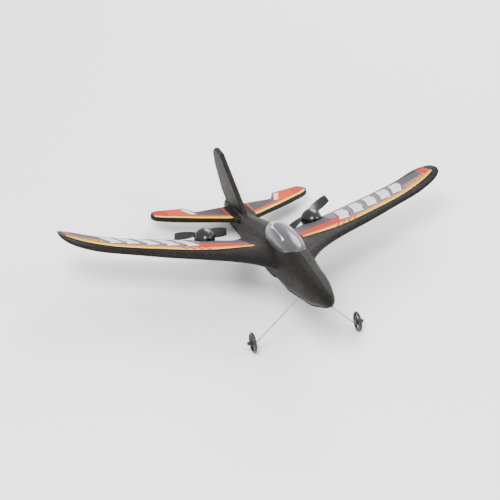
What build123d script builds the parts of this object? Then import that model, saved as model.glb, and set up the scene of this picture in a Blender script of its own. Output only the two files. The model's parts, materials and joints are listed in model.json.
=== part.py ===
from build123d import *
import os
from math import asin, atan2, cos, degrees, hypot, radians, sin

# Twin pusher-propeller foam model aeroplane on a wire undercarriage.
# Everything is drawn in flying attitude: +X to the aeroplane's left, -Y forward,
# +Z up, in millimetres. stand() then sits it on its two wheels and its tail on the plane z = 0.

# ---- driving dimensions -------------------------------------------------------------------
HALF_SPAN = 190.5
FOAM_WALL = 3.6             # wall of the hollow fuselage
GLUE_GAP = 0.05             # glue line between foam pieces

WHEEL_R, WHEEL_X, WHEEL_Y, WHEEL_Z = 9.5, 50.4, -58.4, -50.9
WHEEL_HUB_W, WHEEL_RIM_W, WHEEL_HUB_R, WHEEL_RIM_IN = 4.6, 2.4, 2.3, 7.7
WHEEL_SPOKES, SPOKE_W = 4, 1.7
WIRE_R = 0.55
AXLE_GAP = 0.07

POD_X, POD_Y, POD_Z, POD_R = 53.9, 63.9, 12.4, 10.2
MOTOR_R, MOTOR_LEN, SHAFT_R = 3.5, 14.0, 0.5
MOTOR_FRONT = 58.9          # y of the motor's front face
PROP_Y, PROP_R, PROP_HUB_R, PROP_HUB_LEN = 78.4, 26.0, 2.6, 5.6
PROP_ANGLES = {"right": 175.0, "left": 31.0}    # where the blades stand at rest
BLADE_PITCH = 22.0

BELLY = dict(x=8.0, y0=-80.0, y1=-18.0, top=-7.8, gap=0.12)
HATCH = dict(x=7.4, y0=-75.0, y1=-23.0)     # opening above the belly plate, into the bay
BAY_FLOOR = -3.6            # flat floor of the equipment bay in the foam
CLAMP_Y = -71.0             # where the undercarriage wire crosses the belly
CLAMP_SCREW_X = 5.6
SWITCH_Y, SWITCH_TRAVEL = -30.0, 2.5
JACK_Y, JACK_BORE_R, JACK_R = -44.0, 1.25, 2.8
LAMP_X, LAMP_Y = 4.5, -36.0

TAIL_Y, TAIL_Z = 155.0, -6.4        # where the tail touches the ground
STAB_BOTTOM, STAB_T = 8.0, 4.6
FIN_T = 5.0
ORIGIN_Y = 36.8             # middle of the standing aeroplane's length, set from its box

# fuselage stations: y, half width, crown, keel, height of the widest line
STATIONS = [
    (-136.0, 1.4, 6.0, 2.4, 4.2),
    (-133.6, 4.0, 8.8, -0.8, 4.0),
    (-126.0, 7.2, 12.4, -3.8, 3.8),
    (-112.0, 10.6, 16.4, -7.2, 3.4),
    (-92.0, 13.4, 20.6, -10.2, 3.2),
    (-68.0, 15.4, 25.2, -12.0, 3.4),
    (-40.0, 16.6, 29.4, -13.0, 3.8),
    (-5.0, 16.8, 30.6, -13.4, 4.0),
    (25.0, 15.2, 28.0, -13.0, 4.4),
    (55.0, 12.8, 23.6, -12.4, 4.6),
    (85.0, 10.6, 18.6, -11.2, 4.4),
    (110.0, 9.0, 15.4, -9.8, 3.6),
    (135.0, 7.6, 14.8, -8.2, 3.4),
    (155.0, 6.4, 14.8, -6.4, 4.2),
    (168.0, 3.8, 14.4, -1.4, 6.4),
]

# wing stations: x, leading edge y, trailing edge y, z of each, thickness
RIBS = [
    (5.0, -56.0, 76.0, 8.0, 7.0, 24.0),
    (16.0, -44.0, 64.0, 9.0, 7.0, 17.0),
    (28.0, -28.5, 57.0, 11.0, 7.2, 13.0),
    (45.0, -11.5, 62.0, 12.0, 8.8, 11.4),
    (60.0, -0.5, 67.0, 12.8, 10.2, 10.8),
    (100.0, 19.5, 81.0, 16.8, 14.2, 10.2),
    (138.0, 38.5, 93.5, 21.4, 19.4, 8.8),
    (160.0, 48.0, 98.5, 25.0, 24.6, 7.8),
    (174.0, 53.5, 102.0, 29.4, 29.0, 6.6),
    (183.0, 57.5, 98.5, 33.6, 33.0, 5.2),
    (188.0, 62.0, 91.0, 36.8, 36.4, 3.6),
    (HALF_SPAN, 69.0, 82.0, 38.6, 38.4, 1.4),
]
CHORD_AT = (0.025, 0.10, 0.27, 0.50, 0.76)
UPPER = (0.24, 0.47, 0.68, 0.60, 0.34)      # height above the chord line, in thicknesses
LOWER = (-0.18, -0.27, -0.30, -0.24, -0.14)
EDGE_T = 1.4                                # blunt trailing edge


def sit_angle():
    """Nose-up angle at which the wheels and the tail touch the same plane."""
    dy, dz = TAIL_Y - WHEEL_Y, TAIL_Z - WHEEL_Z
    return degrees(atan2(dz, dy) + asin(WHEEL_R / hypot(dy, dz)))


def stand(shape):
    """Moves a shape from flying attitude to the standing aeroplane's frame."""
    a = radians(sit_angle())
    wheel_z = -WHEEL_Y * sin(a) + WHEEL_Z * cos(a)
    return Pos(0, -ORIGIN_Y, WHEEL_R - wheel_z) * Rot(X=-sit_angle()) * shape


# ---- fuselage -----------------------------------------------------------------------------
def half_section(y, a, crown, keel, z_wide, shrink=0.0):
    """Right-angled half of a fuselage section, x >= 0, drawn on the plane at y."""
    a, crown, keel = a - shrink, crown - shrink, keel + shrink
    up, down = crown - z_wide, z_wide - keel
    k = 0.80
    pts = [
        (0, y, crown),
        (a * 0.60, y, z_wide + up * 0.84),
        (a * 0.93, y, z_wide + up * 0.42),
        (a, y, z_wide),
        (a * 0.92, y, z_wide - down * 0.46),
        (a * 0.58, y, z_wide - down * (0.06 + k)),
        (0, y, keel),
    ]
    curve = Spline(*pts, tangents=[(1, 0, 0), (-1, 0, 0)])
    return Face(Wire([curve, Line(pts[-1], pts[0])]))


def half_hull(shrink=0.0, y_range=(-200, 200)):
    rows = [s for s in STATIONS if y_range[0] <= s[0] <= y_range[1]]
    return loft([half_section(*row, shrink=shrink) for row in rows])


def mirrored(shape):
    return shape.mirror(Plane.YZ)


def block(x0, x1, y0, y1, z0, z1):
    return Pos((x0 + x1) / 2, (y0 + y1) / 2, (z0 + z1) / 2) * Box(x1 - x0, y1 - y0, z1 - z0)


def rod(p, q, r):
    """Round bar from point p to point q."""
    p, q = Vector(*p), Vector(*q)
    plane = Plane(origin=p, z_dir=q - p)
    return extrude(plane * Circle(r), (q - p).length)


def belly_block(grow=0.0):
    b = BELLY
    return block(-b["x"] - grow, b["x"] + grow, b["y0"] - grow, b["y1"] + grow, -30, b["top"] + grow / 5)


def belly_room():
    """Everything that the foam gives up for the belly plate, its hatch and its screws."""
    h = HATCH
    room = belly_block(BELLY["gap"]) + block(-h["x"], h["x"], h["y0"], h["y1"], -20, BAY_FLOOR + 1)
    for x, y in SCREW_AT:
        room += Pos(x, y, -8) * Cylinder(0.82, 12)
    return room


def wire_path(offset=0.0):
    """Undercarriage wire: axle, leg, cross bar in the belly, leg, axle."""
    tip, knee = WHEEL_X + 5.4, WHEEL_X - 4.0
    top_x, top_y, top_z = 3.4, CLAMP_Y, BELLY["top"] - 0.2
    pts = [
        (-tip, WHEEL_Y, WHEEL_Z), (-knee, WHEEL_Y, WHEEL_Z), (-top_x, top_y, top_z),
        (top_x, top_y, top_z), (knee, WHEEL_Y, WHEEL_Z), (tip, WHEEL_Y, WHEEL_Z),
    ]
    path = FilletPolyline(*pts, radius=1.6)
    start = Plane(origin=pts[0], z_dir=(1, 0, 0))
    return sweep(start * Circle(WIRE_R + offset), path=path)


# ---- wing ---------------------------------------------------------------------------------
def rib_points(le, te, z_le, z_te, t):
    chord = te - le
    line = lambda s: z_le + (z_te - z_le) * s
    top = [(le + chord * s, line(s) + t * h) for s, h in zip(CHORD_AT, UPPER)]
    low = [(le + chord * s, line(s) + t * h) for s, h in zip(CHORD_AT, LOWER)]
    edge = min(EDGE_T, t * 0.3)
    return top, low, (le, z_le), (te, z_te + edge / 2), (te, z_te - edge / 2)


def rib_face(x, le, te, z_le, z_te, t):
    top, low, nose, te_up, te_low = rib_points(le, te, z_le, z_te, t)
    run = [te_up] + top[::-1] + [nose] + low + [te_low]
    pts = [(x, y, z) for y, z in run]
    return Face(Wire([Spline(*pts), Line(pts[-1], pts[0])]))


def wing_solid():
    return loft([rib_face(*rib) for rib in RIBS])


# ---- tail ---------------------------------------------------------------------------------
def stab_outline():
    tip = [(72.0, 145.0), (79.5, 152.5), (82.0, 163.0), (78.5, 171.0), (70.0, 172.0)]
    corners = [(70.0, 172.0), (56.0, 167.6), (46.5, 165.4), (39.8, 147.6), (0, 148.4), (0, 98.0)]
    edge = [Line(p, q) for p, q in zip(corners, corners[1:])]
    front = Spline((0, 98.0), (16.0, 107.6), (40.0, 122.6), tip[0], tangents=[(1, 0.35), (1, 0.8)])
    bow = Spline(*tip, tangents=[(1, 0.8), (-1, -0.2)])
    face = Face(Wire([front, bow] + edge))
    for (x, y), r in (((46.5, 165.4), 3.0), ((39.8, 147.6), 4.0)):
        near = [v for v in face.vertices() if abs(v.X - x) < 0.01 and abs(v.Y - y) < 0.01]
        face = face.fillet_2d(r, near)
    return face


def stabilizer():
    half = extrude(Pos(0, 0, STAB_BOTTOM) * stab_outline(), STAB_T)
    both = half + mirrored(half)
    rim = both.edges().filter_by(lambda e: abs(e.center().Z - (STAB_BOTTOM + STAB_T)) < 0.01)
    both = fillet(rim, 1.4)
    rim = both.edges().filter_by(lambda e: abs(e.center().Z - STAB_BOTTOM) < 0.01)
    return fillet(rim, 1.4)


def rounded_outline(corners, radii):
    """Flat face on the plane x = 0 through (y, z) corners, each rounded by its own radius."""
    face = Face(Wire([Line((0, *p), (0, *q)) for p, q in zip(corners, corners[1:] + corners[:1])]))
    for (y, z), r in zip(corners, radii):
        if r:
            near = [v for v in face.vertices() if abs(v.Y - y) < 0.01 and abs(v.Z - z) < 0.01]
            face = face.fillet_2d(r, near)
    return face


def fin_outline():
    root = STAB_BOTTOM + STAB_T + GLUE_GAP
    corners = [
        (152.0, root), (164.5, 14.6), (176.5, 22.0), (194.0, 45.5), (196.8, 57.2), (190.0, 62.2),
        (172.0, 60.0), (102.5, 13.4), (105.0, root),
    ]
    return rounded_outline(corners, (0, 6.0, 20.0, 12.0, 3.0, 4.0, 4.0, 0, 0))


def fin():
    plate = extrude(fin_outline(), FIN_T / 2, both=True)
    top = [e for e in plate.edges() if abs(abs(e.center().X) - FIN_T / 2) < 0.01 and e.center().Z > 16.0]
    return fillet(top, 0.9)


# ---- motor pod, drawn at the left-hand pod and mirrored -----------------------------------
def pod_solid(grow=0.0):
    r = POD_R + grow
    tail_r, front, back = 5.6 + grow, POD_Y - POD_R - 1.2 - grow, POD_Y + 9.6 + grow
    profile = Face(Wire([
        Spline((0, front, 0), (r * 0.62, POD_Y - r * 0.84, 0), (r, POD_Y - 0.6, 0), (tail_r, back, 0),
               tangents=[(1, 0, 0), (-0.75, 1, 0)]),
        Line((tail_r, back, 0), (0, back, 0)),
        Line((0, back, 0), (0, front, 0)),
    ]))
    return Pos(POD_X, 0, POD_Z) * revolve(profile, Axis.Y)


def along_y(r, y0, y1):
    return Pos(POD_X, 0, POD_Z) * rod((0, y0, 0), (0, y1, 0), r)


def pod_halves():
    """Upper and lower pod shells, with the motor's socket and the cooling intake in the nose."""
    body = pod_solid() - along_y(MOTOR_R + 0.05, MOTOR_FRONT, 80) - along_y(2.6, 40, MOTOR_FRONT + 1)
    gap = 0.03
    big = 40
    upper = body & block(POD_X - big, POD_X + big, 30, 90, POD_Z + gap, POD_Z + big)
    lower = body & block(POD_X - big, POD_X + big, 30, 90, POD_Z - big, POD_Z - gap)
    return upper, lower


def motor_can():
    can = along_y(MOTOR_R, MOTOR_FRONT, MOTOR_FRONT + MOTOR_LEN)
    can -= along_y(MOTOR_R - 0.5, MOTOR_FRONT - 1, MOTOR_FRONT + MOTOR_LEN - 0.6)
    return can - along_y(1.1, 50, 80)


def motor_magnet():
    magnet = along_y(1.7, MOTOR_FRONT + 2.6, MOTOR_FRONT + MOTOR_LEN - 0.62)
    return magnet - along_y(SHAFT_R + 0.25, 50, 80)


def motor_coil():
    """Ironless coil that turns with the shaft between the magnet and the can."""
    coil = along_y(2.6, MOTOR_FRONT + 1.9, MOTOR_FRONT + MOTOR_LEN - 1.6)
    coil -= along_y(2.05, MOTOR_FRONT + 2.3, 80)
    return coil - along_y(SHAFT_R + 0.0, 50, 80)


def motor_cap():
    cap = along_y(MOTOR_R - 0.52, MOTOR_FRONT + 0.02, MOTOR_FRONT + 1.4)
    return cap - along_y(SHAFT_R + 0.06, 50, 80)


def motor_shaft():
    return along_y(SHAFT_R, MOTOR_FRONT + 0.5, PROP_Y + PROP_HUB_LEN / 2 - 1.0)


def blade_section(r, chord, pitch, t):
    """Lens-shaped blade section at radius r, in the plane at x = r, twisted about the radius."""
    c, s = cos(radians(pitch)), sin(radians(pitch))
    turn = lambda u, v: (r, u * s + v * c, u * c - v * s)
    h = chord / 2
    upper = Spline(turn(-h, 0), turn(-h * 0.35, t * 0.9), turn(h * 0.4, t * 0.7), turn(h, 0))
    lower = Spline(turn(h, 0), turn(h * 0.3, -t * 0.15), turn(-h * 0.4, -t * 0.1), turn(-h, 0))
    return Face(Wire([upper, lower]))


def propeller(angle):
    hub = rod((0, -PROP_HUB_LEN / 2, 0), (0, PROP_HUB_LEN / 2, 0), PROP_HUB_R)
    hub = fillet(hub.edges().sort_by(Axis.Y)[-1], 1.2)
    blade = loft([
        blade_section(1.2, 3.6, BLADE_PITCH + 26, 0.9),
        blade_section(6.0, 7.6, BLADE_PITCH + 14, 0.8),
        blade_section(13.0, 9.4, BLADE_PITCH + 4, 0.7),
        blade_section(21.0, 9.0, BLADE_PITCH - 4, 0.6),
        blade_section(PROP_R, 7.0, BLADE_PITCH - 7, 0.45),
    ])
    both = hub + blade + Rot(Y=180) * blade
    both -= rod((0, -9, 0), (0, PROP_HUB_LEN / 2 - 1.0, 0), SHAFT_R)
    return Pos(POD_X, PROP_Y, POD_Z) * Rot(Y=-angle) * both


# ---- undercarriage ------------------------------------------------------------------------
def along_x(r, x0, x1):
    return Pos(0, WHEEL_Y, WHEEL_Z) * rod((x0, 0, 0), (x1, 0, 0), r)


def wheel():
    rim_half, hub_half = WHEEL_RIM_W / 2, WHEEL_HUB_W / 2
    rim = along_x(WHEEL_R, WHEEL_X - rim_half, WHEEL_X + rim_half)
    rim = fillet(rim.edges(), 0.9) - along_x(WHEEL_RIM_IN, 40, 70)
    hub = along_x(WHEEL_HUB_R, WHEEL_X - hub_half, WHEEL_X + hub_half)
    whole = rim + hub
    reach = (WHEEL_RIM_IN + WHEEL_HUB_R) / 2
    for n in range(WHEEL_SPOKES):
        arm = Pos(0, reach, 0) * Box(1.5, WHEEL_RIM_IN - WHEEL_HUB_R + 1.6, SPOKE_W)
        whole += Pos(WHEEL_X, WHEEL_Y, WHEEL_Z) * Rot(X=45 + 360 / WHEEL_SPOKES * n) * arm
    return whole - along_x(WIRE_R + AXLE_GAP, 30, 70)


def wheel_cap():
    x0 = WHEEL_X + WHEEL_HUB_W / 2 + 0.25
    cap = along_x(1.8, x0, x0 + 3.0)
    cap = fillet(cap.edges().sort_by(Axis.X)[-1], 0.9)
    return cap - along_x(WIRE_R + 0.01, 40, WHEEL_X + 5.42)


# ---- belly plate and electronics ----------------------------------------------------------
SCREW_AT = [(-6.0, -77.6), (6.0, -77.6), (-6.0, -20.4), (6.0, -20.4)]
SCREW_LEN = 7.4


def screw(x, y, head_z, length, r=0.8, head_r=1.5):
    """Cross-head screw driven up from below, its head's face at head_z."""
    s = Pos(x, y, head_z + 0.5) * Cylinder(head_r, 1.0)
    s += Pos(x, y, head_z + 0.5 + length / 2) * Cylinder(r, length)
    for a in (0, 90):
        s -= Pos(x, y, head_z + 0.1) * Rot(Z=a) * Box(1.8, 0.4, 0.7)
    return s


def keel_z(y):
    """Height of the fuselage's underside at y, between stations."""
    for (y0, *_, k0, _z0), (y1, *_, k1, _z1) in zip(STATIONS, STATIONS[1:]):
        if y0 <= y <= y1:
            return k0 + (k1 - k0) * (y - y0) / (y1 - y0)
    return STATIONS[0][3]


def belly_plate(hull):
    plate = hull & belly_block()
    plate -= wire_path(0.1)
    plate -= block(-4.4, 4.4, CLAMP_Y - 0.8, CLAMP_Y + 0.8, BELLY["top"] - 1.0, BELLY["top"] + 1)
    plate -= Pos(0, JACK_Y, -20) * Cylinder(JACK_R + 0.05, 30)
    plate -= Pos(LAMP_X, LAMP_Y, -20) * Cylinder(1.05, 30)
    y0, y1 = SWITCH_Y - 1.2, SWITCH_Y + 1.2 + SWITCH_TRAVEL
    plate -= block(-1.4, 1.4, y0 - 0.2, y1 + 0.2, -30, 0)
    for x, y in SCREW_AT:
        plate -= Pos(x, y, -20) * Cylinder(0.85, 30)
        plate -= Pos(x, y, keel_z(y) + 1.7 - 10) * Cylinder(1.6, 20)
    return plate


def charge_jack():
    bottom = keel_z(JACK_Y) + 0.35
    jack = Pos(0, JACK_Y, (bottom + BELLY["top"] + 3.2) / 2) * Cylinder(JACK_R, BELLY["top"] + 3.2 - bottom)
    jack -= Pos(0, JACK_Y, bottom + 2.5) * Cylinder(JACK_BORE_R, 5.0)
    return jack


def switch_body():
    z = BELLY["top"] + 0.05
    body = block(-3.0, 3.0, SWITCH_Y - 3.6, SWITCH_Y + 3.6 + SWITCH_TRAVEL, z, z + 3.6)
    return body - block(-1.5, 1.5, SWITCH_Y - 1.6, SWITCH_Y + 1.6 + SWITCH_TRAVEL, z - 1, z + 1.8)


def switch_slider():
    z = BELLY["top"]
    knob = block(-1.2, 1.2, SWITCH_Y - 1.2, SWITCH_Y + 1.2, keel_z(SWITCH_Y) - 0.9, z + 1.6)
    knob -= block(-2, 2, SWITCH_Y - 0.25, SWITCH_Y + 0.25, -30, keel_z(SWITCH_Y) - 0.4)
    return knob


def gear_clamp():
    z = BELLY["top"] + 0.02
    bar = block(-7.0, 7.0, CLAMP_Y - 3, CLAMP_Y + 3, z, z + 2.6)
    bar -= rod((-5.0, CLAMP_Y, z - 0.2), (5.0, CLAMP_Y, z - 0.2), WIRE_R + 0.05)
    for x in (-CLAMP_SCREW_X, CLAMP_SCREW_X):
        bar -= Pos(x, CLAMP_Y, z) * Cylinder(0.52, 20)
    return bar


def control_board():
    board = block(-8.5, 8.5, -64.0, -16.0, -2.2, -1.2)
    for x, y in ((-6.8, -61.6), (6.8, -18.4)):
        board -= Pos(x, y, -2) * Cylinder(0.9, 4)
    return board


def build():
    """Every node by name, in flying attitude."""
    node = {}
    half = half_hull()
    hull = half + mirrored(half)
    cavity = half_hull(FOAM_WALL, (-118.5, 56))
    cavity = (cavity + mirrored(cavity)) & block(-40, 40, -150, 90, BAY_FLOOR, 60)

    wing = wing_solid() - hull_grown(half)
    pod = pod_solid(0.12)
    lead = [(5.0, 30.0, 7.5), (POD_X, POD_Y - 5.0, POD_Z - 2.2)]
    channel = rod(lead[0], lead[1], 1.2)
    left_wing = wing - pod - channel

    stab, the_fin = stabilizer(), fin()
    stab_slot = block(-30, 30, 97.9, 148.5, STAB_BOTTOM - GLUE_GAP, STAB_BOTTOM + STAB_T + GLUE_GAP)
    canopy_outer, canopy_bed = canopy_solids()

    shell = hull - cavity - belly_room() - stab_slot - canopy_bed
    shell -= fin_room()
    shell -= channel + mirrored(channel)
    left = shell & block(0, 60, -200, 200, -60, 60)
    node["fuselage_left_shell"] = left
    node["fuselage_right_shell"] = mirrored(left)
    node["canopy"] = canopy_outer

    node["wing_left"] = left_wing
    node["wing_right"] = mirrored(left_wing)
    node["tailplane"] = stab
    node["fin"] = the_fin

    upper, lower = pod_halves()
    parts = {
        "pod_upper": upper - channel, "pod_lower": lower - channel, "motor_can": motor_can(),
        "motor_magnet": motor_magnet(), "motor_cap": motor_cap(),
        "motor_coil": motor_coil(), "motor_shaft": motor_shaft(),
    }
    for name, solid in parts.items():
        node[name + "_left"] = solid
        node[name + "_right"] = mirrored(solid)
    node["propeller_left"] = propeller(PROP_ANGLES["left"])
    node["propeller_right"] = Pos(-2 * POD_X, 0, 0) * propeller(PROP_ANGLES["right"])

    for z in (0.55, -0.55):
        p, q = lead
        tube = rod((p[0], p[1], p[2] + z), (q[0] - 2.6, q[1] - 1.5, q[2] + z - 0.25), 0.42)
        node.setdefault("motor_leads_left", []).append(tube)
        node.setdefault("motor_leads_right", []).append(mirrored(tube))
    for name in ("motor_leads_left", "motor_leads_right"):
        node[name] = Compound(children=node[name])

    node["undercarriage_wire"] = wire_path()
    a_wheel, a_cap = wheel(), wheel_cap()
    node["wheel_left"], node["wheel_right"] = a_wheel, mirrored(a_wheel)
    node["wheel_cap_left"], node["wheel_cap_right"] = a_cap, mirrored(a_cap)
    node["gear_clamp"] = gear_clamp()
    head = BELLY["top"] + 2.62
    node["clamp_screws"] = Compound(children=[
        Pos(x, CLAMP_Y, head + 0.5) * Cylinder(1.2, 1.0) + Pos(x, CLAMP_Y, head - 1.2) * Cylinder(0.5, 2.4)
        for x in (-CLAMP_SCREW_X, CLAMP_SCREW_X)
    ])

    node["belly_plate"] = belly_plate(hull)
    node["belly_screws"] = Compound(children=[screw(x, y, keel_z(y) + 0.7, SCREW_LEN) for x, y in SCREW_AT])
    node["switch_body"] = switch_body()
    node["switch_slider"] = switch_slider()
    node["charge_socket"] = charge_jack()
    lamp_bottom = keel_z(LAMP_Y) - 0.1
    node["status_lamp"] = Pos(LAMP_X, LAMP_Y, lamp_bottom + 3.2) * Cylinder(1.0, 6.4)
    node["battery"] = fillet(block(-7.5, 7.5, -101, -69, 0.2, 6.7).edges(), 0.8)
    node["battery_leads"] = Compound(children=[
        rod((x, -68.68, 2.6), (x, -64.2, -0.6), 0.55) for x in (-3.0, 3.0)
    ])
    node["control_board"] = control_board()
    chips = [(-3.4, 3.4, -48, -41.2, 1.1), (-7.6, -3.8, -34, -30.2, 1.3), (3.8, 7.6, -34, -30.2, 1.3),
             (-2.2, 2.2, -28, -25, 2.0), (4.6, 7.0, -56, -51, 0.9), (-4.5, 4.5, -63.4, -59.4, 3.4)]
    node["board_chips"] = Compound(children=[
        block(x0, x1, y0, y1, -1.18, -1.18 + h) for x0, x1, y0, y1, h in chips
    ])
    return node


def hull_grown(half):
    """Left half of the hull with the glue line's room, as the wing root's seat."""
    rows = [(y, a + GLUE_GAP, c + GLUE_GAP, k - GLUE_GAP, w) for y, a, c, k, w in STATIONS]
    seat = loft([half_section(*row) for row in rows])
    return seat + block(-30, 0.5, -150, 160, -60, 60)


def fin_room():
    """Slot that the fin's root drops into, a glue line wider than the fin all round."""
    flat = extrude(fin_outline(), FIN_T / 2 + GLUE_GAP, both=True)
    room = flat
    for shift in ((0, -0.1, 0), (0, 0.1, 0), (0, 0, -0.2)):
        room += Pos(*shift) * flat
    return room


# canopy stations: y, half width, height of the sill, crown
CANOPY = [
    (-59.0, 1.2, 25.6, 27.6),
    (-54.0, 7.0, 24.2, 30.4),
    (-44.0, 11.0, 22.8, 34.0),
    (-26.0, 13.0, 22.2, 37.4),
    (-6.0, 12.8, 23.0, 38.0),
    (8.0, 10.4, 24.4, 36.2),
    (15.0, 6.4, 26.0, 33.4),
    (18.0, 1.2, 28.2, 30.4),
]
CANOPY_T = 1.0


def canopy_section(y, a, sill, crown, shrink=0.0):
    a, crown = max(a - shrink, 0.4), crown - shrink
    pts = [(a, y, sill), (a * 0.90, y, sill + (crown - sill) * 0.52),
           (a * 0.52, y, sill + (crown - sill) * 0.88),
           (0, y, crown)]
    right = pts[:-1]
    left = [(-x, y, z) for x, y, z in right[::-1]]
    arch = Spline(*right, pts[-1], *left)
    return Face(Wire([arch, Line(left[-1], right[0])]))


def canopy_solids():
    """The clear-grey canopy shell, and the room that it takes out of the foam."""
    outer = loft([canopy_section(*row) for row in CANOPY])
    inner = loft([canopy_section(y, a, s - 3, c, shrink=CANOPY_T) for y, a, s, c in CANOPY[1:-1]])
    bed = loft([canopy_section(y, a + 0.06, s - 0.06, c + 9) for y, a, s, c in CANOPY])
    return outer - inner, bed


def main():
    os.makedirs("parts", exist_ok=True)
    for name, shape in build().items():
        export_step(stand(shape), f"parts/{name}.step")
    print("sit angle", round(sit_angle(), 3))


main()
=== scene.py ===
import bpy
import bmesh
import json
import math
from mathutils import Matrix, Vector, noise
from mathutils.bvhtree import BVHTree
from mathutils.geometry import delaunay_2d_cdt

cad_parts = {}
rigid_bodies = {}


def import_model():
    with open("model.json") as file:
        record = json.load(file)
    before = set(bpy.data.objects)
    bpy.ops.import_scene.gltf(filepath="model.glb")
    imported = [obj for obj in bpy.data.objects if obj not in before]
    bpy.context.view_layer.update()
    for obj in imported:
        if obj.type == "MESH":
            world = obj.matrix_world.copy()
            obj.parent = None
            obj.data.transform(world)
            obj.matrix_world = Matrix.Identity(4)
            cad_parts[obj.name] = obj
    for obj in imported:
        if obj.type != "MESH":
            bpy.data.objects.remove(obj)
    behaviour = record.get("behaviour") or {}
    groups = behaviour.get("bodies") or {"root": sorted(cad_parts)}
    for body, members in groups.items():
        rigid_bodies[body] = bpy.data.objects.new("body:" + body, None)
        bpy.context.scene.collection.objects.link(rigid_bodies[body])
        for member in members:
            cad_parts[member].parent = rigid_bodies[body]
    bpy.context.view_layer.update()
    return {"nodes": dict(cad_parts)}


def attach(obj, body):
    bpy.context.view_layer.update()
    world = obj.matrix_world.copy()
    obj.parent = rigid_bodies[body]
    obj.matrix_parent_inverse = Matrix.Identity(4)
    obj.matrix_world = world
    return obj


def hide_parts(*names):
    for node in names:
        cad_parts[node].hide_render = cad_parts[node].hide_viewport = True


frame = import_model()
scene = bpy.context.scene
mm = 0.001
print("frame loaded:", len(frame["nodes"]), "nodes")

# the aeroplane stands nose up on its wheels and tail, so flying attitude is turned by this much
standing = {"sitAngle": 14.277, "backShift": 36.8, "lift": 44.426}
sitSin = math.sin(math.radians(standing["sitAngle"]))
sitCos = math.cos(math.radians(standing["sitAngle"]))


def stand(x, y, z):
    # flying attitude in millimetres to the standing frame in metres
    return Vector((x, y * sitCos + z * sitSin - standing["backShift"],
                   -y * sitSin + z * sitCos + standing["lift"])) * mm


planeUp = Vector((0, sitSin, sitCos))


# camera, floor and light

view = {"azimuth": -19.1, "elevation": 32.75, "distance": 1.6, "lens": 124.6, "sensor": 36.0,
        "shiftX": -0.059, "shiftY": -0.0098, "aim": (0.0, 0.0, 15.0)}


def makeCamera():
    aim = stand(*view["aim"])
    around, up = math.radians(view["azimuth"]), math.radians(view["elevation"])
    back = Vector((math.sin(around) * math.cos(up), -math.cos(around) * math.cos(up), math.sin(up)))
    data = bpy.data.cameras.new("studioCamera")
    data.lens, data.sensor_width = view["lens"], view["sensor"]
    data.shift_x, data.shift_y = view["shiftX"], view["shiftY"]
    camera = bpy.data.objects.new("studioCamera", data)
    scene.collection.objects.link(camera)
    camera.location = aim + back * view["distance"]
    camera.rotation_euler = back.to_track_quat("Z", "Y").to_euler()
    scene.camera = camera


makeCamera()

studio = {"floorSize": 12.0, "floorColour": (0.97, 0.97, 0.97), "skyColour": (1.0, 1.0, 1.0),
          "skyStrength": 1.15}


def makeStudio():
    bpy.ops.mesh.primitive_plane_add(size=studio["floorSize"], location=(0, 0, -0.0002))
    floor = bpy.context.object
    floor.name = "studioFloor"
    paper = bpy.data.materials.new("palePaper")
    paper.use_nodes = True
    shader = paper.node_tree.nodes["Principled BSDF"]
    shader.inputs["Base Color"].default_value = (*studio["floorColour"], 1)
    shader.inputs["Roughness"].default_value = 0.9
    shader.inputs["Specular IOR Level"].default_value = 0.1
    floor.data.materials.append(paper)
    world = bpy.data.worlds.new("softSky")
    scene.world = world
    world.use_nodes = True
    world.node_tree.nodes["Background"].inputs[0].default_value = (*studio["skyColour"], 1)
    world.node_tree.nodes["Background"].inputs[1].default_value = studio["skyStrength"]
    lamps = (("keyLight", (-0.5, -0.7, 1.3), 34, 0.6), ("backLight", (0.7, 1.0, 0.9), 22, 0.8),
             ("sideLight", (1.2, -0.5, 0.7), 9, 0.7))
    for name, place, power, size in lamps:
        data = bpy.data.lights.new(name, "AREA")
        data.energy, data.size = power, size
        lamp = bpy.data.objects.new(name, data)
        scene.collection.objects.link(lamp)
        lamp.location = place
        lamp.rotation_euler = Vector(place).to_track_quat("Z", "Y").to_euler()


makeStudio()
print("camera and studio ready")


# shader groups shared by several materials

def newGroup(name, inputs, outputs):
    group = bpy.data.node_groups.new(name, "ShaderNodeTree")
    for label, kind, value in inputs:
        socket = group.interface.new_socket(name=label, in_out="INPUT", socket_type=kind)
        socket.default_value = value
    for label, kind in outputs:
        group.interface.new_socket(name=label, in_out="OUTPUT", socket_type=kind)
    return group, group.nodes.new("NodeGroupInput"), group.nodes.new("NodeGroupOutput")


def node(tree, kind, **settings):
    made = tree.nodes.new(kind)
    for key, value in settings.items():
        if key in made.inputs.keys():
            made.inputs[key].default_value = value
        else:
            setattr(made, key, value)
    return made


def mathNode(tree, operation, first, second=None):
    made = tree.nodes.new("ShaderNodeMath")
    made.operation = operation
    for slot, value in enumerate((first, second)):
        if isinstance(value, bpy.types.NodeSocket):
            tree.links.new(value, made.inputs[slot])
        elif value is not None:
            made.inputs[slot].default_value = value
    return made.outputs[0]


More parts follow.
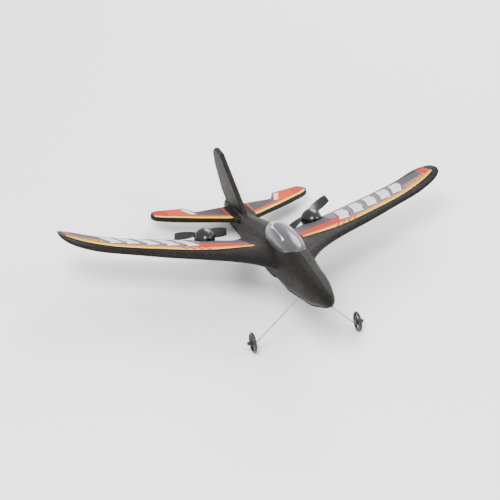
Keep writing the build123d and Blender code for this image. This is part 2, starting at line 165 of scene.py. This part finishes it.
def makeBeadGroup():
    # moulded foam: packed beads with painted shade darkening the creases between them, some beads a little lighter
    group, given, result = newGroup(
        "foamBeads",
        [("Bead Scale", "NodeSocketFloat", 420.0), ("Crease Width", "NodeSocketFloat", 0.12),
         ("Dark", "NodeSocketColor", (0.01, 0.01, 0.01, 1)),
         ("Light", "NodeSocketColor", (0.03, 0.03, 0.03, 1))],
        [("Colour", "NodeSocketColor"), ("Height", "NodeSocketFloat"), ("Roughness", "NodeSocketFloat")])
    links = group.links
    place = node(group, "ShaderNodeTexCoord").outputs["Object"]
    cell = node(group, "ShaderNodeTexVoronoi", feature="F1")
    edge = node(group, "ShaderNodeTexVoronoi", feature="DISTANCE_TO_EDGE")
    cloud = node(group, "ShaderNodeTexNoise", Scale=38.0, Detail=4.0, Roughness=0.65)
    grain = node(group, "ShaderNodeTexNoise", Scale=1500.0, Detail=3.0, Roughness=0.6)
    for texture in (cell, edge):
        links.new(given.outputs["Bead Scale"], texture.inputs["Scale"])
    for texture in (cell, edge, cloud, grain):
        links.new(place, texture.inputs["Vector"])
    crease = node(group, "ShaderNodeMapRange", interpolation_type="SMOOTHSTEP")
    links.new(edge.outputs["Distance"], crease.inputs["Value"])
    links.new(given.outputs["Crease Width"], crease.inputs["From Max"])
    beadTone = mathNode(group, "MULTIPLY", cell.outputs["Color"], 0.75)
    # painted shade: the colour is darkened towards each bead's edge, in the creases; the bead tone and cloud vary at
    # random
    paintedCreaseShade = mathNode(group, "MULTIPLY", crease.outputs["Result"], 0.55)
    beadToneAndCreaseShade = mathNode(group, "MULTIPLY", mathNode(group, "ADD", beadTone, cloud.outputs["Fac"]),
                    mathNode(group, "ADD", paintedCreaseShade, 0.35))
    mix = node(group, "ShaderNodeMix", data_type="RGBA")
    links.new(beadToneAndCreaseShade, mix.inputs["Factor"])
    links.new(given.outputs["Dark"], mix.inputs[6])
    links.new(given.outputs["Light"], mix.inputs[7])
    height = mathNode(group, "ADD", crease.outputs["Result"],
                      mathNode(group, "MULTIPLY", grain.outputs["Fac"], 0.25))
    rough = mathNode(group, "ADD", mathNode(group, "MULTIPLY", cloud.outputs["Fac"], 0.25), 0.38)
    links.new(mix.outputs[2], result.inputs["Colour"])
    links.new(height, result.inputs["Height"])
    links.new(rough, result.inputs["Roughness"])
    return group


def makeScuffGroup():
    # fine uneven gloss, faint scratches and a little dust for moulded plastic and metal
    group, given, result = newGroup(
        "mouldedScuff",
        [("Colour", "NodeSocketColor", (0.02, 0.02, 0.02, 1)),
         ("Worn Colour", "NodeSocketColor", (0.06, 0.06, 0.06, 1)),
         ("Base Roughness", "NodeSocketFloat", 0.3), ("Grain Scale", "NodeSocketFloat", 900.0)],
        [("Colour", "NodeSocketColor"), ("Height", "NodeSocketFloat"), ("Roughness", "NodeSocketFloat")])
    links = group.links
    place = node(group, "ShaderNodeTexCoord").outputs["Object"]
    cloud = node(group, "ShaderNodeTexNoise", Scale=120.0, Detail=5.0, Roughness=0.7)
    grain = node(group, "ShaderNodeTexNoise", Detail=2.0)
    stretch = node(group, "ShaderNodeMapping", Scale=(3.0, 0.25, 1.0))
    scratch = node(group, "ShaderNodeTexNoise", Scale=800.0, Detail=2.0)
    links.new(given.outputs["Grain Scale"], grain.inputs["Scale"])
    links.new(place, cloud.inputs["Vector"])
    links.new(place, grain.inputs["Vector"])
    links.new(place, stretch.inputs["Vector"])
    links.new(stretch.outputs["Vector"], scratch.inputs["Vector"])
    worn = node(group, "ShaderNodeMapRange")
    worn.inputs["From Min"].default_value, worn.inputs["From Max"].default_value = 0.55, 0.8
    links.new(cloud.outputs["Fac"], worn.inputs["Value"])
    mix = node(group, "ShaderNodeMix", data_type="RGBA")
    links.new(mathNode(group, "MULTIPLY", worn.outputs["Result"], 0.5), mix.inputs["Factor"])
    links.new(given.outputs["Colour"], mix.inputs[6])
    links.new(given.outputs["Worn Colour"], mix.inputs[7])
    rough = mathNode(group, "ADD", given.outputs["Base Roughness"],
                     mathNode(group, "MULTIPLY", scratch.outputs["Fac"], 0.14))
    links.new(mix.outputs[2], result.inputs["Colour"])
    links.new(grain.outputs["Fac"], result.inputs["Height"])
    links.new(rough, result.inputs["Roughness"])
    return group


beadGroup = makeBeadGroup()
scuffGroup = makeScuffGroup()


def startMaterial(name):
    material = bpy.data.materials.new(name)
    material.use_nodes = True
    tree = material.node_tree
    return material, tree, tree.nodes["Principled BSDF"]


def groupMaterial(name, group, values, bump, shaderValues):
    material, tree, shader = startMaterial(name)
    used = node(tree, "ShaderNodeGroup", node_tree=group)
    for key, value in values.items():
        used.inputs[key].default_value = value
    for key, value in shaderValues.items():
        shader.inputs[key].default_value = value
    tree.links.new(used.outputs["Colour"], shader.inputs["Base Color"])
    tree.links.new(used.outputs["Roughness"], shader.inputs["Roughness"])
    relief = node(tree, "ShaderNodeBump", Strength=bump[0], Distance=bump[1])
    tree.links.new(used.outputs["Height"], relief.inputs["Height"])
    tree.links.new(relief.outputs["Normal"], shader.inputs["Normal"])
    return material


foamLook = {"Bead Scale": 420.0, "Crease Width": 0.14, "Dark": (0.0016, 0.0014, 0.0013, 1),
            "Light": (0.012, 0.0100, 0.0095, 1)}
foamMaterial = groupMaterial("charcoalFoam", beadGroup, foamLook, (0.55, 0.00035),
                             {"Specular IOR Level": 0.1})


def plasticMaterial(name, colour, worn, roughness, bump=(0.12, 0.00006), grain=900.0, **shaderValues):
    values = {"Colour": (*colour, 1), "Worn Colour": (*worn, 1), "Base Roughness": roughness,
              "Grain Scale": grain}
    sockets = {key.replace("_", " "): value for key, value in shaderValues.items()}
    return groupMaterial(name, scuffGroup, values, bump, sockets)


podMaterial = plasticMaterial("glossBlackPod", (0.008, 0.008, 0.0085), (0.02, 0.02, 0.02), 0.16)
propMaterial = plasticMaterial("blackNylonPropeller", (0.008, 0.008, 0.009), (0.022, 0.022, 0.022), 0.24)
wheelMaterial = plasticMaterial("blackWheelPlastic", (0.010, 0.010, 0.010), (0.03, 0.03, 0.03), 0.34,
                                grain=1400.0)
bellyMaterial = plasticMaterial("texturedBellyPlastic", (0.012, 0.012, 0.013), (0.03, 0.03, 0.03), 0.5,
                                (0.5, 0.0001), 1800.0)
wireMaterial = plasticMaterial("drawnSteelWire", (0.36, 0.36, 0.37), (0.2, 0.19, 0.18), 0.26,
                               (0.2, 0.00003), 2500.0, Metallic=1.0)
steelMaterial = plasticMaterial("platedMotorSteel", (0.6, 0.6, 0.61), (0.4, 0.39, 0.38), 0.2, Metallic=1.0)
copperMaterial = plasticMaterial("enamelledCopper", (0.55, 0.2, 0.08), (0.4, 0.12, 0.05), 0.3,
                                 (0.6, 0.0001), 2200.0, Metallic=0.9)
magnetMaterial = plasticMaterial("sinteredMagnet", (0.12, 0.12, 0.125), (0.2, 0.2, 0.2), 0.45, Metallic=0.7)
leadMaterial = plasticMaterial("softLeadCover", (0.35, 0.012, 0.01), (0.2, 0.01, 0.01), 0.5)
foilMaterial = plasticMaterial("batteryPouch", (0.55, 0.56, 0.58), (0.4, 0.4, 0.42), 0.3, (0.4, 0.0002),
                               300.0, Metallic=0.8)
boardMaterial = plasticMaterial("greenBoard", (0.01, 0.09, 0.03), (0.03, 0.14, 0.05), 0.35)
chipMaterial = plasticMaterial("blackChip", (0.015, 0.015, 0.016), (0.04, 0.04, 0.04), 0.45)
lampMaterial = plasticMaterial("redLampLens", (0.5, 0.02, 0.01), (0.35, 0.02, 0.01), 0.1, Coat_Weight=0.6)
canopyMaterial = plasticMaterial("smokeGreyCanopy", (0.040, 0.041, 0.044), (0.085, 0.085, 0.09), 0.24,
                                 (0.5, 0.00012), 520.0,
                                 Coat_Weight=0.35)
# white colour for a painted highlight streak on the canopy
canopyHighlightMaterial = plasticMaterial("paintedCanopyHighlight", (0.8, 0.8, 0.8), (0.6, 0.6, 0.6), 0.35)
print("materials ready")

cadLooks = {
    "canopy": canopyMaterial, "tailplane": foamMaterial, "fin": foamMaterial,
    "undercarriage_wire": wireMaterial, "gear_clamp": bellyMaterial, "clamp_screws": steelMaterial,
    "belly_plate": bellyMaterial, "belly_screws": steelMaterial, "switch_body": bellyMaterial,
    "switch_slider": podMaterial, "charge_socket": podMaterial, "status_lamp": lampMaterial,
    "battery": foilMaterial, "battery_leads": leadMaterial, "control_board": boardMaterial, "board_chips": chipMaterial,
}
for side in ("left", "right"):
    cadLooks.update({
        "pod_upper_" + side: podMaterial, "pod_lower_" + side: podMaterial, "motor_can_" + side: steelMaterial,
        "motor_cap_" + side: chipMaterial, "motor_magnet_" + side: magnetMaterial, "motor_coil_" + side: copperMaterial,
        "motor_shaft_" + side: steelMaterial, "motor_leads_" + side: leadMaterial,
        "propeller_" + side: propMaterial, "wheel_" + side: wheelMaterial, "wheel_cap_" + side: wheelMaterial,
        "wing_" + side: foamMaterial, "fuselage_" + side + "_shell": foamMaterial,
    })


def dressCad():
    for name, material in cadLooks.items():
        for slot in frame["nodes"][name].material_slots:
            slot.material = material


dressCad()


# the moulded foam: fuselage halves and wing panels run into each other with a soft blend

foam = {"voxel": 0.85, "blendRounds": 9, "evenRounds": 3, "beadSize": 2.6, "beadHeight": 0.07,
        "seamHeight": 0.45}


def shownMesh(name, mesh, material):
    piece = bpy.data.objects.new(name, mesh)
    scene.collection.objects.link(piece)
    mesh.materials.clear()
    mesh.materials.append(material)
    return piece


def applyModifiers(piece):
    done = bpy.data.meshes.new_from_object(piece.evaluated_get(bpy.context.evaluated_depsgraph_get()))
    piece.modifiers.clear()
    piece.data = done


def flying(point):
    # back from the standing frame to flying attitude, in millimetres
    x, y, z = (v / mm for v in point)
    y, z = y + standing["backShift"], z - standing["lift"]
    return x, y * sitCos - z * sitSin, y * sitSin + z * sitCos


# the drawn underside sags and rises between its sections, so foam and plate are eased to an even keel line

belly = {"keel": ((-91, -10.3), (-68, -12), (-40, -13), (-5, -13.4), (26, -13)), "probeX": 3.2,
         "sideRise": 0.4,
         "widest": 3.5, "fade": 12.0, "step": 3, "power": 1.3, "plateEdge": 2.0}


def along(table, x):
    for (x0, y0), (x1, y1) in zip(table, table[1:]):
        if x <= x1:
            break
    return y0 + (y1 - y0) * (x - x0) / (x1 - x0)


def measureBelly():
    graph = bpy.context.evaluated_depsgraph_get()
    trees = [BVHTree.FromObject(frame["nodes"][name], graph) for name in ("belly_plate",
             "fuselage_left_shell")]
    found = []
    for y in range(belly["keel"][0][0], belly["keel"][-1][0], belly["step"]):
        hits = [tree.ray_cast(stand(belly["probeX"], y, -40), planeUp)[0] for tree in trees]
        lows = [flying(hit)[2] for hit in hits if hit]
        found.append((y, min(lows)))
    return found


bellyHeights = measureBelly()


def easeBelly(piece):
    first, last = bellyHeights[0][0], bellyHeights[-1][0]
    moved = []
    for vertex in piece.data.vertices:
        x, y, z = flying(vertex.co)
        if z < belly["widest"] and first < y < last:
            low = along(bellyHeights, y)
            drop = along(belly["keel"], y) + belly["sideRise"] - low
            fade = min((y - first) / belly["fade"], (last - y) / belly["fade"], 1)
            share = min((belly["widest"] - z) / (belly["widest"] - low), 1) ** belly["power"]
            z += drop * fade * share
        moved.extend(stand(x, y, z))
    piece.data.vertices.foreach_set("co", moved)
    piece.data.update()


def makeBellyPlate():
    bm = bmesh.new()
    bm.from_mesh(frame["nodes"]["belly_plate"].data)
    bmesh.ops.remove_doubles(bm, verts=bm.verts, dist=1e-6)
    for _ in range(5):
        long = [edge for edge in bm.edges if edge.calc_length() > belly["plateEdge"] * mm]
        bmesh.ops.subdivide_edges(bm, edges=long, cuts=1)
        bmesh.ops.triangulate(bm, faces=bm.faces)
    mesh = bpy.data.meshes.new("easedBellyPlate")
    bm.to_mesh(mesh)
    bm.free()
    piece = shownMesh("easedBellyPlate", mesh, bellyMaterial)
    easeBelly(piece)
    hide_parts("belly_plate")
    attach(piece, "airframe")


makeBellyPlate()


def makeFoamBody():
    whole = bmesh.new()
    names = ["fuselage_left_shell", "fuselage_right_shell", "wing_left", "wing_right"]
    for name in names:
        whole.from_mesh(frame["nodes"][name].data)
    bmesh.ops.remove_doubles(whole, verts=whole.verts, dist=1e-6)
    mesh = bpy.data.meshes.new("foamBody")
    whole.to_mesh(mesh)
    whole.free()
    piece = shownMesh("foamBody", mesh, foamMaterial)
    remesh = piece.modifiers.new("skin", "REMESH")
    remesh.mode, remesh.voxel_size = "VOXEL", foam["voxel"] * mm
    remesh.use_smooth_shade = True
    applyModifiers(piece)
    root = piece.vertex_groups.new(name="root")
    every = piece.vertex_groups.new(name="every")
    for vertex in piece.data.vertices:
        x, y, z = flying(vertex.co)
        near = 1 - min(abs(abs(x) - 17) / 9, 1)
        span = min(max((y + 62) / 12, 0), 1) * min(max((96 - y) / 14, 0), 1)
        canopySeat = abs(x) < 14.5 and z > 19
        above = min(max((z - 3) / 3, 0), 1)
        root.add([vertex.index], 0.0 if canopySeat else near * span * above, "REPLACE")
        every.add([vertex.index], 0.0 if canopySeat or z < 0 else 1.0, "REPLACE")
    for label, rounds in (("every", foam["evenRounds"]), ("root", foam["blendRounds"])):
        smooth = piece.modifiers.new(label, "SMOOTH")
        smooth.factor, smooth.iterations, smooth.vertex_group = 0.5, rounds, label
    applyModifiers(piece)
    piece.vertex_groups.clear()
    easeBelly(piece)
    reliefFoam(piece)
    for face in piece.data.polygons:
        face.use_smooth = True
    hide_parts(*names)
    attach(piece, "airframe")
    return piece


def reliefFoam(piece):
    # beads stand a little proud, and the mould's parting ridge runs over the nose
    places = [vertex.co.copy() for vertex in piece.data.vertices]
    outward = [vertex.normal.copy() for vertex in piece.data.vertices]
    moved = []
    for place, normal in zip(places, outward):
        x, y, z = flying(place)
        bead = noise.voronoi(place / (foam["beadSize"] * mm))[0][0]
        push = (0.45 - bead) * foam["beadHeight"]
        if y < -58 and z > 2:
            push += foam["seamHeight"] * math.exp(-(x / 0.9) ** 2)
        moved.extend(place + normal * push * mm)
    piece.data.vertices.foreach_set("co", moved)
    piece.data.update()


foamBody = makeFoamBody()
print("foam body:", len(foamBody.data.polygons), "faces")
bpy.context.view_layer.update()
foamTree = BVHTree.FromObject(foamBody, bpy.context.evaluated_depsgraph_get())
tailTree = BVHTree.FromObject(frame["nodes"]["tailplane"], bpy.context.evaluated_depsgraph_get())
canopyTree = BVHTree.FromObject(frame["nodes"]["canopy"], bpy.context.evaluated_depsgraph_get())


# printed film: thin cut shapes laid on the foam, each layer a little above the last

film = {"firstLift": 0.10, "layerLift": 0.045, "grid": 2.4, "rearGap": 4.0, "podRadius": 11.7,
        "podX": 53.9, "podY": 63.9}
filmFront = ((23, -1), (45, 5), (60, 10.5), (80, 18), (100, 26.5), (120, 35.5), (140, 45), (160, 55.5),
             (175, 63), (187, 70))
wingRear = ((23, 57), (30, 57), (45, 62), (60, 67.4), (80, 74.6), (100, 81.7), (120, 90.3), (140, 94.7),
            (160, 97.7), (187, 99))


def frontEdge(x):
    return along(filmFront, x)


def rearEdge(x):
    rear = along(wingRear, x) - film["rearGap"]
    off = abs(x - film["podX"])
    if off < film["podRadius"]:
        rear = min(rear, film["podY"] - math.sqrt(film["podRadius"] ** 2 - off ** 2))
    return rear


def across(x, share):
    # share 0 lies on the film's front edge and 1 on its rear edge
    return frontEdge(x) + (rearEdge(x) - frontEdge(x)) * share


def strip(x0, x1, front, rear, slant=0.0, step=2.0):
    # outline between two edge functions, its ends leaning outwards by slant
    count = max(int((x1 - x0) / step), 1)
    stops = [x0 + (x1 - x0) * i / count for i in range(count + 1)]
    ahead = [(x, front(x)) for x in stops]
    behind = [(x + slant, rear(x + slant)) for x in stops]
    return ahead + behind[::-1]


def edgeOffset(amount):
    return lambda x: frontEdge(x) + amount


def rearOffset(amount):
    return lambda x: rearEdge(x) - amount


def shareOf(share):
    return lambda x: across(x, share)


def inside(point, outline):
    x, y = point
    found = False
    for (x0, y0), (x1, y1) in zip(outline, outline[1:] + outline[:1]):
        if (y0 > y) != (y1 > y) and x < (x1 - x0) * (y - y0) / (y1 - y0) + x0:
            found = not found
    return found


def layCut(bm, outline, tree, lift, mirror, fromHeight=90):
    xs, ys = [p[0] for p in outline], [p[1] for p in outline]
    grid = film["grid"]
    points = [Vector(p) for p in outline]
    for i in range(int((max(xs) - min(xs)) / grid) + 1):
        for j in range(int((max(ys) - min(ys)) / grid) + 1):
            spot = (min(xs) + (i + 0.5) * grid, min(ys) + (j + 0.5) * grid)
            clear = min((Vector(spot) - Vector(p)).length for p in outline)
            if clear > 0.45 * grid and inside(spot, outline):
                points.append(Vector(spot))
    count = len(outline)
    edges = [(i, (i + 1) % count) for i in range(count)]
    flat, _, faces, *_ = delaunay_2d_cdt(points, edges, [], 1, 1e-5)
    placed = []
    for spot in flat:
        start = stand(-spot.x if mirror else spot.x, spot.y, fromHeight)
        hit, normal, _, _ = tree.ray_cast(start, -planeUp)
        placed.append(bm.verts.new(hit + normal * lift * mm) if hit else None)
    for face in faces:
        corners = [placed[i] for i in face]
        if all(corners) and len(set(corners)) > 2:
            made = bm.faces.new(corners)
            made.normal_update()
            if made.normal.dot(planeUp) < 0:
                made.normal_flip()
            made.smooth = True


def filmPiece(name, outlines, material, level, tree=None):
    bm = bmesh.new()
    for outline in outlines:
        for mirror in (False, True):
            layCut(bm, outline, tree or foamTree, film["firstLift"] + level * film["layerLift"], mirror)
    mesh = bpy.data.meshes.new(name)
    bm.to_mesh(mesh)
    bm.free()
    piece = shownMesh(name, mesh, material)
    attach(piece, "airframe")
    return piece


def printMaterial(name, colour, second, roughness=0.5):
    return plasticMaterial(name, colour, second, roughness, (0.15, 0.00005), 700.0, Specular_IOR_Level=0.12)


inks = {
    "lavender": printMaterial("lavenderGreyFilm", (0.13, 0.115, 0.155), (0.24, 0.22, 0.28)),
    "grey": printMaterial("midGreyFilm", (0.055, 0.052, 0.058), (0.11, 0.105, 0.115)),
    "coral": printMaterial("coralRedFilm", (0.42, 0.014, 0.008), (0.52, 0.045, 0.02)),
    "gold": printMaterial("goldenFilm", (0.66, 0.24, 0.004), (0.72, 0.32, 0.01)),
    # pale yellow ink, printed as a band on the tail and used as a painted highlight on the wing's leading edge
    "paleYellowAndHighlight": printMaterial("paleYellowAndHighlightFilm", (0.80, 0.55, 0.02), (0.85, 0.65, 0.12)),
    "orange": printMaterial("orangeFilm", (0.52, 0.05, 0.005), (0.60, 0.09, 0.01)),
    "white": printMaterial("whiteFilm", (0.62, 0.62, 0.63), (0.45, 0.45, 0.48)),
    "darkRed": printMaterial("darkRedFilm", (0.10, 0.004, 0.004), (0.16, 0.01, 0.01)),
    "black": printMaterial("blackFilm", (0.012, 0.012, 0.014), (0.03, 0.03, 0.03)),
}

flames = {"starts": (69, 86, 103, 120, 135), "width": 11.5, "lean": 9.0, "from": 0.20, "to": 0.86,
          "outline": 1.1}


def flameOutline(start, grow):
    # a slanted bar with one pointed end and a notch, wider by grow for its outline
    width, lean = flames["width"], flames["lean"]
    top, bottom = flames["from"], flames["to"]
    corners = ((0, top), (width, top - 0.06), (width + lean * 0.55, 0.5 * (top + bottom)),
               (width * 0.75 + lean, bottom),
               (lean * 0.9, bottom + 0.05), (width * 0.1 + lean * 0.45, 0.5 * (top + bottom) + 0.05))
    placed = [Vector((start + x, across(start + x, share))) for x, share in corners]
    centre = sum(placed, Vector((0, 0))) / len(placed)
    return [tuple(p + (p - centre).normalized() * grow) for p in placed]


def checkOutline(x, row):
    near = 6.2 + row * 3.4
    return strip(x, x + 2.6, edgeOffset(near), edgeOffset(near + 2.3), 0.8, 2.6)


def makeWingFilm():
    filmPiece("wingFilmBase", [strip(24, 184, frontEdge, rearEdge, 0.0)], inks["lavender"], 0)
    filmPiece("wingFilmGrey", [strip(24, 66, shareOf(0.42), rearEdge), strip(150, 176, shareOf(0.42),
              rearEdge)], inks["grey"], 1)
    filmPiece("wingFilmCoral", [strip(24, 72, edgeOffset(4), shareOf(0.45), 3), strip(176, 183.5,
              edgeOffset(4), rearEdge)],
              inks["coral"], 2)
    filmPiece("wingFilmBorder", [strip(66.5, 183, rearOffset(1.1), rearEdge), strip(24, 184,
              edgeOffset(-0.7), edgeOffset(0.4))],
              inks["black"], 3)
    filmPiece("wingFilmGold", [strip(24, 184, edgeOffset(0.4), edgeOffset(5.4))], inks["gold"], 4)
    # painted highlight: a pale yellow strip along the front of the golden band, where the leading edge catches light
    filmPiece("wingFilmPaintedHighlight", [strip(24, 184, edgeOffset(0.4), edgeOffset(2.2))], inks["paleYellowAndHighlight"], 5)
    filmPiece("wingFilmSlashes", [strip(x, x + 3.2, edgeOffset(0.6), edgeOffset(5.2), 3.4,
              1.6) for x in (61, 67.5, 74, 80.5)],
              inks["orange"], 6)
    filmPiece("wingFilmFlameEdges", [flameOutline(x, flames["outline"]) for x in flames["starts"]],
              inks["darkRed"], 3)
    filmPiece("wingFilmFlames", [flameOutline(x, 0) for x in flames["starts"]], inks["white"], 4)
    filmPiece("wingFilmChecks", [checkOutline(152 + 4.4 * i, row) for i in range(6) for row in (0, 1)],
              inks["gold"], 3)


makeWingFilm()
print("wing film laid")

tailFront = ((3, 101), (16, 107.6), (40, 122.6), (72, 145), (79.5, 152.5))
tailRear = ((3, 147), (39.8, 146.2), (46.5, 163.8), (56, 166), (70, 170.5), (79.5, 169))


def tailEdge(offset):
    return lambda x: along(tailFront, x) + offset


def tailBack(offset):
    return lambda x: along(tailRear, x) - offset


def makeTailFilm():
    filmPiece("tailFilmOrange", [strip(12, 79, tailEdge(1.5), tailBack(1.5))], inks["orange"], 0, tailTree)
    filmPiece("tailFilmGrey", [strip(13, 42, tailEdge(13), tailBack(2.2), 1.5)], inks["grey"], 1, tailTree)
    filmPiece("tailFilmYellow", [strip(12, 79, tailEdge(1.5), tailEdge(6.2))], inks["paleYellowAndHighlight"], 2, tailTree)
    filmPiece("tailFilmRed", [strip(66, 78, tailEdge(6.5), tailBack(2.4))], inks["coral"], 3, tailTree)
    filmPiece("tailFilmSlash", [[(40.5, 139), (45.5, 140.5), (52, 160), (47.5, 161)]], inks["white"], 4,
              tailTree)


makeTailFilm()
print("tail film laid")

# painted highlight: a white streak of reflected light along one side of the canopy top, laid as a thin film
canopyHighlightStreak = [(-8.6, -38), (-6.9, -38.5), (-6.3, -4), (-3.0, 2.2), (4.6, 4.2), (4.4, 6.0), (-4.4, 4.6),
                (-8.0, -3)]


def makeCanopyHighlight():
    bm = bmesh.new()
    layCut(bm, canopyHighlightStreak, canopyTree, film["firstLift"], False)
    mesh = bpy.data.meshes.new("canopyHighlightStreak")
    bm.to_mesh(mesh)
    bm.free()
    piece = shownMesh("canopyHighlightStreak", mesh, canopyHighlightMaterial)
    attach(piece, "airframe")


makeCanopyHighlight()
